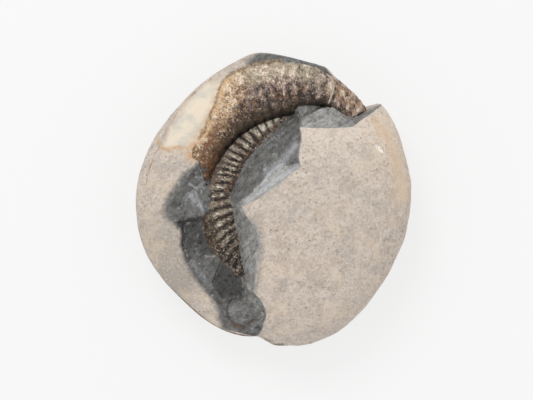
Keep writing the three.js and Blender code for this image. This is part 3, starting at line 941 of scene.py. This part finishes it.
def stone_material(colours):
    """Beige weathered skin with painted light on the cover's top and painted shade on the lower left flank,
    grey broken faces with painted light and shade, a cream shelf, rust stains.
    """
    r = Recipe("limestone")
    grain, fine = r.noise(0.8, 4, 0.75), r.noise(0.28, 2, 0.6)
    pits = r.times(r.between(0.2, 0.1, r.cells(1.6)), r.spots(0.48, 0.6, 5, 2))
    hairline = r.math("ABSOLUTE", r.math("SUBTRACT", r.mark("hairline"), r.waver(0.7, 2.5, 2)))
    chalk = r.times(r.mark("chalk"), r.total((r.noise(0.5, 3, 0.7), 3, -0.75)))
    skin = r.layers(
        colours.skin,
        (r.spots(0.38, 0.62, 2.6, 6, 0.66, 0.5), colours.skin_shade),
        (r.spots(0.42, 0.62, 14, 2), 0.45, (206, 194, 182)),
        # Painted light: the top of the cover is made lighter.
        (r.mark("bright"), 0.75, (222, 210, 197)),
        # Painted shade: the lower left flank is made darker.
        (r.mark("dull"), 0.7, (164, 156, 147)),
        (r.between(0.5, 0.64, grain), 0.6, (142, 130, 118)),
        (r.spots(0.57, 0.66, 0.6, 2), 0.4, (226, 217, 206)),
        (pits, 0.55, (112, 101, 91)),
        (r.lines(0.03, 6, 5, 0.6, 1.4), 0.3, (172, 146, 120)),
        (r.spots(0.5, 0.66, 8, 5, 0.6, 0.4), 0.4, (218, 200, 178)),
        (r.spots(0.52, 0.66, 6, 6, 0.66, 0.6), 0.45, (166, 159, 152)),
        (r.lines(0.03, 1.6, 3, 0.6, 1.6), r.spots(0.54, 0.66, 3.4, 3), 0.7, (130, 118, 106)),
        (r.mark("cream"), r.mix(r.spots(0.4, 0.66, 4, 4, 0.6), colours.cream, (203, 198, 186))),
        (r.mark("rust"), r.spots(0.2, 0.6, 1.6, 4, 0.65), 0.75, colours.rust),
        (r.mark("band"), r.spots(0.2, 0.55, 3, 4, 0.65), 0.65, colours.band),
        (r.between(0.2, 0.04, hairline), r.spots(0.38, 0.55, 4.5, 2), 0.65, (146, 112, 82)),
        (r.between(0.5, 0.62, chalk), 0.9, (240, 235, 226)),
        (r.mark("bruise"), r.spots(0.3, 0.6, 1.6, 4, 0.65), 0.8, (134, 133, 130)),
    )

    slant = r.join(r.total((r.x, 0.7, 0), (r.y, -0.7, 0)), r.total((r.x, 0.16, 0), (r.y, 0.16, 0)))
    cloudy = r.total((r.noise(2, 6, 0.7, 0.5), 2.8, -0.4), (r.noise(0.5, 3, 0.7), 1.2, -0.6),
                     (r.noise(0.9, 4, 0.7, 0.3, slant), 2.2, -1.1))
    tone, depth = r.mark("tone"), r.mark("depth")
    coarse = r.between(0.045, 0.08, tone)
    chipped_edge_highlight = r.total((r.mark("crease"), 1, 0), (r.noise(1.1, 4, 0.6), 2.4, -0.9))
    crack_shadow = r.math("ADD", r.mark("crack"), r.times(fine, 0.1))
    rind = r.math("ADD", depth, r.times(r.noise(2, 2), 0.8))
    grey = r.layers(
        (0, 0, 0),
        # Each broken face's grey, with painted shade and painted light by how the face is turned to the lamp.
        (tone, r.math("MAXIMUM", cloudy, 0.35), (1, 0.985, 0.94, 1)),
        (r.lines(0.05, 4.5, 5, 0.6, 1.2), coarse, r.spots(0.5, 0.64, 3.5, 3), 0.5, (178, 181, 184)),
        (r.spots(0.5, 0.7, 0.7, 5, 0.75), r.total((coarse, 0.3, 0.1)), (150, 150, 145)),
        (r.spots(0.66, 0.74, 0.5, 2), r.spots(0.45, 0.6, 3.5, 2), coarse, 0.7, (206, 204, 198)),
        # Paler creases: chipped edges with a painted highlight along them.
        (r.between(0.6, 0.2, chipped_edge_highlight), r.spots(0.48, 0.62, 1.8, 3), 0.6, (182, 184, 184)),
        (r.mark("wisp"), r.spots(0.3, 0.52, 0.9, 5, 0.7, 0.5), 0.9, (200, 202, 206)),
        # Painted shade in the gaps round the chunk.
        (r.mark("gap"), r.spots(0.3, 0.5, 1.8, 4, 0.65), 0.8, (50, 48, 46)),
        # Painted shadow: a dark line along the step at the crack.
        (r.between(0.42, 0.14, crack_shadow), 0.85, (26, 24, 23)),
        (r.between(1.5, 0.5, rind), 0.6, (158, 159, 160)),
        (r.mark("rust_edge"), r.spots(0.44, 0.58, 0.8, 4, 0.7), 0.75,
         r.mix(r.between(0.4, 0.6, fine), (84, 50, 30), (158, 106, 64))),
    )

    blotch = r.waver(0.9, 1.6, 6, 0.72, 0.4)
    broken = r.times(r.between(0.1, 1, r.math("ADD", r.mark("grey"), blotch)),
                     r.between(0.1, 0.2, r.math("ADD", depth, r.waver(0.5, 0.9, 3))))
    fringe = r.mark("fringe")
    fringe_patches = r.total((fringe, 0.6, 0), (r.noise(2.4, 5, 0.7, 0.5), 2.4, -1.2))
    colour = r.layers(
        skin,
        (broken, grey),
        (r.between(0.35, 0.75, r.math("ADD", r.mark("crusty"), blotch)), 0.8,
         r.mix(r.between(0.42, 0.6, grain), (172, 150, 122), (104, 84, 66))),
        (r.between(0.3, 0.75, fringe_patches), fringe, (112, 108, 103)),
    )
    relief = r.math("SUBTRACT", r.math("ADD", r.times(grain, 0.6), r.times(fine, 0.4)), r.times(pits, 0.6))
    return r.finish(colour, r.math("SUBTRACT", 0.9, r.times(broken, 0.22)), relief, 0.22, 0.35)


def fossil_material(colours):
    """Brown mineralised shell: painted shade in the troughs and beside the dip between the whorls, pale crests,
    rust, painted highlights and painted glints.
    """
    r = Recipe("fossil")
    crest, last, outwards, foot, rim = map(r.mark, ("crest", "last_whorl", "outwards", "foot", "rim"))
    along, across = r.times(r.mark("along"), MM), r.mark("across")

    def streaks(share, *noise):
        """Noise drawn out across the whorl."""
        return r.noise(*noise, where=r.join(along, r.times(across, share * MM)))

    flecks = streaks(0.4, 0.5, 4, 0.7, 0.3)
    crust, patch = r.noise(0.9, 5, 0.72, 0.4), r.noise(3.5, 4, 0.6, 0.5)
    grain, wide = r.noise(0.4, 3, 0.75), r.noise(5.5, 3, 0.6, 0.6)

    # Second whorl: broad ribs with fine lines on them and painted highlights, painted shade between the ribs
    # and along the edge that runs under the last whorl
    lower, top = r.by_y(-2, -7), r.by_y(17, 21)
    value = r.total((streaks(0.22, 0.38, 4, 0.68, 0.3), 2.3, -1.15), (crust, 1.4, -0.7), (crest, 0.26, 0.46),
                    (patch, 0.9, -0.45))
    value = r.total((value, 1, 0), (top, 0.26, 0.03), (lower, -0.06, 0), (r.by_y(-11.5, -15), -0.3, 0))
    mid = r.layers(colours.shell, (r.between(0.4, 0.6, wide), (102, 88, 78)),
                   (r.between(0.3, 0.9, top), (134, 126, 102)))
    groove_shade = r.total((crest, 1, 0), (grain, 0.3, -0.15))
    margin = r.total((foot, 1, 0), (crust, 2, -1))
    away = r.total((foot, 1, 0), (patch, 3, -1.5))
    second = r.layers(
        (44, 31, 23),
        (r.between(0.22, 0.5, value), mid),
        (r.between(0.55, 0.82, value),
         r.mix(lower, r.mix(top, (182, 168, 148), (188, 180, 158)), (164, 154, 132))),
        # Painted highlights on the palest parts of the ribs.
        (r.between(0.86, 1.02, value), (236, 228, 212)),
        (r.between(0.46, 0.38, streaks(0.12, 0.24, 3, 0.6, 0.2)), 0.55, (48, 34, 26)),
        # Painted shade in the troughs between the ribs
        (r.between(0.4, 0.08, groove_shade), 0.85, colours.groove_shade),
        (r.between(0.4, 0.7, outwards), r.by_y(-6, 0), r.by_y(16, 12), 0.8,
         r.mix(crust, (58, 46, 38), (150, 132, 120))),
        # Painted shade where the second whorl runs under the last whorl.
        (r.between(0.78, 1, outwards), (34, 26, 19)),
        (r.between(2.6, 0.8, margin), r.by_y(-4, 2), 0.85,
         r.mix(r.between(0.52, 0.66, crust), (46, 28, 19), (150, 100, 62))),
        (r.between(4.6, 6.6, away), lower, 0.8,
         r.mix(r.between(0.45, 0.66, crust), (56, 42, 32), (126, 108, 82))),
    )

    # Last whorl: a coarse crust, olive towards its rim, with painted shade darkening it towards the dip between
    # the whorls, and painted highlights and glints
    value = r.total((flecks, 1.6, -0.8), (crust, 1.1, -0.55), (r.noise(2.2, 6, 0.66, 0.5), 1.8, -0.9),
                    (r.between(-0.6, 0.2, outwards), 0.2, 0.37))
    value = r.total((value, 1, 0), (r.between(7, 2, rim), 0.26, -0.07), (r.by_x(2, 12), -0.18, 0))
    lined = r.times(r.math("SUBTRACT", crest, 0.5), r.by_x(-8, 6))
    value = r.total((value, 1, 0), (lined, 0.3, 0), (r.by_x(-6, -12), 0.1, 0))
    mid = r.layers(
        colours.crust,
        (r.between(0.42, 0.56, wide), (128, 108, 102)),
        (r.between(6.5, 2.5, rim), r.by_x(-14, -8), r.by_x(18, 10), r.spots(0.36, 0.52, 3.6, 4), 0.9,
         (150, 142, 118)),
        (r.math("MAXIMUM", r.by_x(16, 19), r.by_x(-6, -14)), r.spots(0.4, 0.56, 2.8, 4, 0.6), 0.7,
         r.mix(r.by_x(-8, 4), (126, 92, 68), (150, 110, 74))),
    )
    burnt = r.layers(
        (50, 28, 19),
        (r.between(0.3, 0.48, r.total((crust, 0.5, 0), (flecks, 0.5, 0))), (118, 76, 45)),
        (r.between(0.56, 0.68, crust), (222, 172, 112)),
    )
    inland = r.by_x(-2, -12)
    suture = r.total((r.mark("suture"), 1, 0), (grain, 0.5, -0.25))
    halo = r.total((rim, 1, 0), (crust, 3, -1.5))
    outer = r.layers(
        (50, 35, 27),
        (r.between(0.2, 0.46, value), mid),
        (r.between(0.54, 0.8, value), r.mix(r.by_x(-4, -14), (190, 170, 150), (212, 180, 142))),
        # Painted highlights on the crust's palest spots.
        (r.between(0.86, 1.04, value), (240, 228, 210)),
        # Painted shade: dark flecks in a band towards the dip between the whorls.
        (r.between(-0.2, -0.5, outwards), r.spots(0.36, 0.56, 1, 4, 0.7), 0.7, (58, 40, 29)),
        (r.between(0.34, 0.1, suture), last, 0.7, (206, 196, 180)),
        # Painted shade: the flank beside the dip between the whorls is darker, darkest in the dip itself.
        (r.between(-0.5, -0.72, outwards), 0.75, r.mix(r.between(0.4, 0.6, crust), (58, 46, 32), (96, 84, 62))),
        (r.between(-0.74, -0.96, outwards), (28, 20, 14)),
        (r.spots(0.46, 0.38, 0.7, 4, 0.7, 0.3), inland, 0.85, (46, 30, 23)),
        # Painted glints: pale gold specks on the left part.
        (r.spots(0.56, 0.64, 0.8, 4, 0.7, 0.3), inland, r.between(-0.75, -0.4, outwards), 0.75,
         (214, 172, 118)),
        (r.by_x(-12, -19), r.spots(0.42, 0.52, 1.6, 4, 0.65), 0.85, burnt),
        (r.between(1.5, 0.5, halo), r.times(r.by_x(-8, -13), r.by_y(13, 18)), r.spots(0.3, 0.5, 2.4, 4, 0.65),
         0.85, r.mix(r.between(0.4, 0.6, grain), (192, 146, 98), (238, 210, 168))),
    )

    # Painted glints: small white specks, also a little glossier.
    painted_glint = r.times(r.spots(0.6, 0.66, 0.45, 2, 0.6), r.spots(0.42, 0.56, 2.6, 2),
                    r.between(-0.85, -0.5, outwards))
    colour = r.layers(
        second,
        (last, outer),
        (r.spots(0.6, 0.68, 1.5, 4, 0.7), r.spots(0.42, 0.62, 6, 2), 0.6, (168, 112, 62)),
        (painted_glint, 0.85, r.mix(last, (236, 224, 202), (234, 216, 186))),
    )
    relief = r.total((crust, 0.5, 0), (flecks, 0.4, 0), (grain, 0.3, 0))
    return r.finish(colour, r.total((painted_glint, -0.3, 0.55)), relief, 0.6, 0.6)


class FOSSIL_OT_stone(bpy.types.Operator):
    """Build the broken limestone nodule"""

    bl_idname = "fossil.stone"
    bl_label = "Broken nodule"

    def execute(self, context):
        sizes = context.scene.fossil_sizes
        lines = break_lines()
        stone = whole_stone()
        cut_with(stone, break_cutter(lines, facet_surface(lines)))
        cut_with(stone, flake(*TIP_FLAKE))
        cut_with(stone, flake(*TOP_FLAKE))
        mark_stone(stone)
        marks = stone.data.attributes
        depth, grey = (np.array([v.value for v in marks[name].data]) for name in ("depth", "grey"))
        weights(stone, "all", step(1, 6, positions(stone)[:, 2]))
        weights(stone, "broken", step(0.15, 0.9, depth) * step(0.3, 0.7, grey))
        roughen(stone, "swell", 9, sizes.swell, "all", 1)
        roughen(stone, "fracture", 3.2, sizes.fracture, "broken", 1)
        roughen(stone, "hackle", 0.9, sizes.hackle, "broken", 2)
        roughen(stone, "pitting", 1.8, sizes.pitting, "all", 3)
        # The roughening may push points out of the box.
        place(stone, np.clip(positions(stone), *np.array(CAD_BOX) / MM))
        stone.data.materials.clear()
        stone.data.materials.append(stone_material(context.scene.fossil_colours))
        make_active(stone)
        bpy.ops.object.shade_smooth_by_angle(angle=math.radians(28))
        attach(stone, "root")
        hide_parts("nodule")
        return {"FINISHED"}


def rib_phase(angle):
    """Number of ribs counted along the coil, whole at each crest, at unwound angles."""
    x, y = (np.array(RIB_CRESTS) - COIL_CENTRE).T
    known = np.arctan2(y, x)
    known = np.where(known < 0, known + TURN, known) - TURN
    count = np.arange(len(known), dtype=float)
    pace = (len(known) - 1) / (known[-1] - known[0])
    phase = np.interp(angle, known, count)
    phase = np.where(angle < known[0], (angle - known[0]) * pace, phase)
    return np.where(angle > known[-1], count[-1] + (angle - known[-1]) * pace * 0.95, phase)


def coil_rings():
    """Unwound angles of the coil's rings, close together where the whorls are bared."""
    rings = []
    angle = LAST_END
    while angle > LAST_END - 4 * TURN:
        rings.append(angle)
        bare = any(start < math.degrees(angle) <= end for start, end in BARED_SPANS)
        angle -= (BARED_STEP if bare else HIDDEN_STEP) / whorl_section(angle)[0]
    return np.array(rings)


def sunk_under_stone(x, y, height):
    """Heights of the coil, kept below the worn stone beside the bared part."""
    cover = np.maximum(0.1, np.minimum(worn_height(x, y), dome_height(x, y)) - 1.0)
    share = step(-0.3, 1.2, -depth_inside(x, y, BARED))
    return np.where(height > 0, height + (np.minimum(height, cover) - height) * share, height)


def powered(value, power):
    return np.sign(value) * np.abs(value) ** power


class FOSSIL_OT_coil(bpy.types.Operator):
    """Build the ribbed coil"""

    bl_idname = "fossil.coil"
    bl_label = "Ribbed coil"

    def execute(self, context):
        sizes = context.scene.fossil_sizes
        rings = coil_rings()
        around = np.concatenate([np.linspace(-0.10, 1.10, 90), np.linspace(1.18, 1.82, 18)]) * math.pi
        angle, turn = np.meshgrid(rings, around, indexing="ij")
        cosine, sine = np.cos(turn), np.sin(turn)
        middle, half = whorl_section(angle)
        lean = np.interp(np.degrees(angle), *RIB_LEAN)
        phase = rib_phase(angle - np.tan(np.radians(lean)) * half * cosine / middle)
        crest = 0.5 + 0.5 * np.cos(TURN * phase)
        last = angle > LAST_START

        def seen_from_above(radius):
            return COIL_CENTRE[0] + radius * np.cos(angle), COIL_CENTRE[1] + radius * np.sin(angle)

        # The ribs fade towards the outer side and beside the cover's foot.
        swell = np.where(last, sizes.last_ribs, sizes.ribs) / MM * (1 - 2 * (1 - crest) ** 1.8)
        swell *= 1 - 0.8 * step(0.35, 0.85, cosine)
        swell *= 0.3 + 0.7 * step(0.2, 1.8, distance_to(*seen_from_above(middle + half * cosine), FOOT))
        full = np.where(last & (cosine < 0), LAST_FULLNESS, 1)
        radius = middle + (half + swell) * powered(cosine, full)
        x, y = seen_from_above(radius)
        height = (half * WHORL_THICKNESS + swell) * powered(sine, full)
        height = sunk_under_stone(x.ravel(), y.ravel(), height.ravel()).reshape(x.shape)
        index = np.arange(x.size).reshape(x.shape)
        here, after = index[:-1], index[1:]
        faces = np.stack([here, np.roll(here, -1, 1), np.roll(after, -1, 1), after], -1).reshape(-1, 4)
        coil = new_piece("coil", np.stack([x, y, COIL_LEVEL + height], -1).reshape(-1, 3), faces)
        along = np.concatenate([[0], np.cumsum(-np.diff(rings) * whorl_section(rings[1:])[0])])
        across = radius - middle
        add_attributes(
            coil, crest=crest, last_whorl=last, along=np.repeat(along, len(around)), across=across,
            outwards=across / half, foot=distance_to(x, y, FOOT), suture=distance_to(x, y, SUTURE),
            rim=distance_to(x, y, LAST_WHORL_SIDE))
        with editing(coil, "DESELECT"):
            bpy.ops.mesh.select_non_manifold()
            bpy.ops.mesh.fill()
            bpy.ops.mesh.select_all(action="SELECT")
            bpy.ops.mesh.normals_make_consistent(inside=False)
        weights(coil, "last", last.ravel())
        weights(coil, "inner", ~last.ravel())
        roughen(coil, "lumps", 1.8, sizes.crust, "last", 2)
        roughen(coil, "crust", 0.6, 0.4 * sizes.crust, "last", 1)
        roughen(coil, "wear", 1.3, sizes.wear, "inner", 2)
        roughen(coil, "scab", 0.5, 0.5 * sizes.wear, "inner", 1)
        cut_with(coil, flake(*END_FLAKE))
        drop_specks(coil)
        bpy.ops.object.shade_smooth_by_angle(angle=math.radians(60))
        coil.data.materials.clear()
        coil.data.materials.append(fossil_material(context.scene.fossil_colours))
        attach(coil, "root")
        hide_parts("ammonite")
        return {"FINISHED"}


class FOSSIL_OT_stage(bpy.types.Operator):
    """Set the floor, the light and the camera"""

    bl_idname = "fossil.stage"
    bl_label = "Floor, light and camera"

    def execute(self, context):
        deselect()
        bpy.ops.mesh.primitive_plane_add(size=6, location=(0, 0, 0))
        floor = bpy.context.object
        floor.name = "floor"
        paper = bpy.data.materials.new("pale floor")
        paper.use_nodes = True
        surface = paper.node_tree.nodes["Principled BSDF"].inputs
        surface["Base Color"].default_value = (0.22, 0.22, 0.22, 1)
        surface["Emission Color"].default_value = (1, 1, 1, 1)
        surface["Emission Strength"].default_value = 0.7
        surface["Roughness"].default_value = 0.9
        surface["Specular IOR Level"].default_value = 0.1
        floor.data.materials.append(paper)
        world = bpy.data.worlds.new("studio")
        world.use_nodes = True
        background = world.node_tree.nodes["Background"].inputs
        background["Color"].default_value = (1, 1, 1, 1)
        background["Strength"].default_value = 0.88
        context.scene.world = world
        light = bpy.data.lights.new("window", "AREA")
        light.shape = "DISK"
        light.size = LAMP_SIZE
        light.energy = LAMP_POWER
        lamp = bpy.data.objects.new("window", light)
        lamp.location = LAMP_AT
        lamp.rotation_euler = (Vector(LAMP_TARGET) - Vector(LAMP_AT)).to_track_quat("-Z", "Y").to_euler()
        camera = bpy.data.cameras.new("camera")
        camera.lens = LENS
        camera.sensor_width = SENSOR
        view = bpy.data.objects.new("camera", camera)
        view.location = (CAMERA_AT[0] * MM, CAMERA_AT[1] * MM, COIL_LEVEL * MM + VIEW_WIDTH * LENS / SENSOR)
        for thing in (lamp, view):
            context.scene.collection.objects.link(thing)
        context.scene.camera = view
        context.scene.view_settings.view_transform = "Standard"
        return {"FINISHED"}


class FOSSIL_PT_panel(bpy.types.Panel):
    """Lists the fossil's sizes, colours and operators"""

    bl_label = "Fossil"
    bl_idname = "FOSSIL_PT_panel"
    bl_space_type = "VIEW_3D"
    bl_region_type = "UI"
    bl_category = "Fossil"

    def draw(self, context):
        for group in (context.scene.fossil_sizes, context.scene.fossil_colours):
            for name in group.__annotations__:
                self.layout.prop(group, name)
        for operator in OPERATORS:
            self.layout.operator(operator.bl_idname)


OPERATORS = (FOSSIL_OT_stone, FOSSIL_OT_coil, FOSSIL_OT_stage)
CLASSES = (FossilSizes, FossilColours) + OPERATORS + (FOSSIL_PT_panel,)


def register():
    for item in CLASSES:
        bpy.utils.register_class(item)
    bpy.types.Scene.fossil_sizes = PointerProperty(type=FossilSizes)
    bpy.types.Scene.fossil_colours = PointerProperty(type=FossilColours)


def unregister():
    del bpy.types.Scene.fossil_colours
    del bpy.types.Scene.fossil_sizes
    for item in reversed(CLASSES):
        bpy.utils.unregister_class(item)


def main():
    register()
    bpy.ops.fossil.stone()
    bpy.ops.fossil.coil()
    bpy.ops.fossil.stage()


if __name__ == "__main__":
    main()
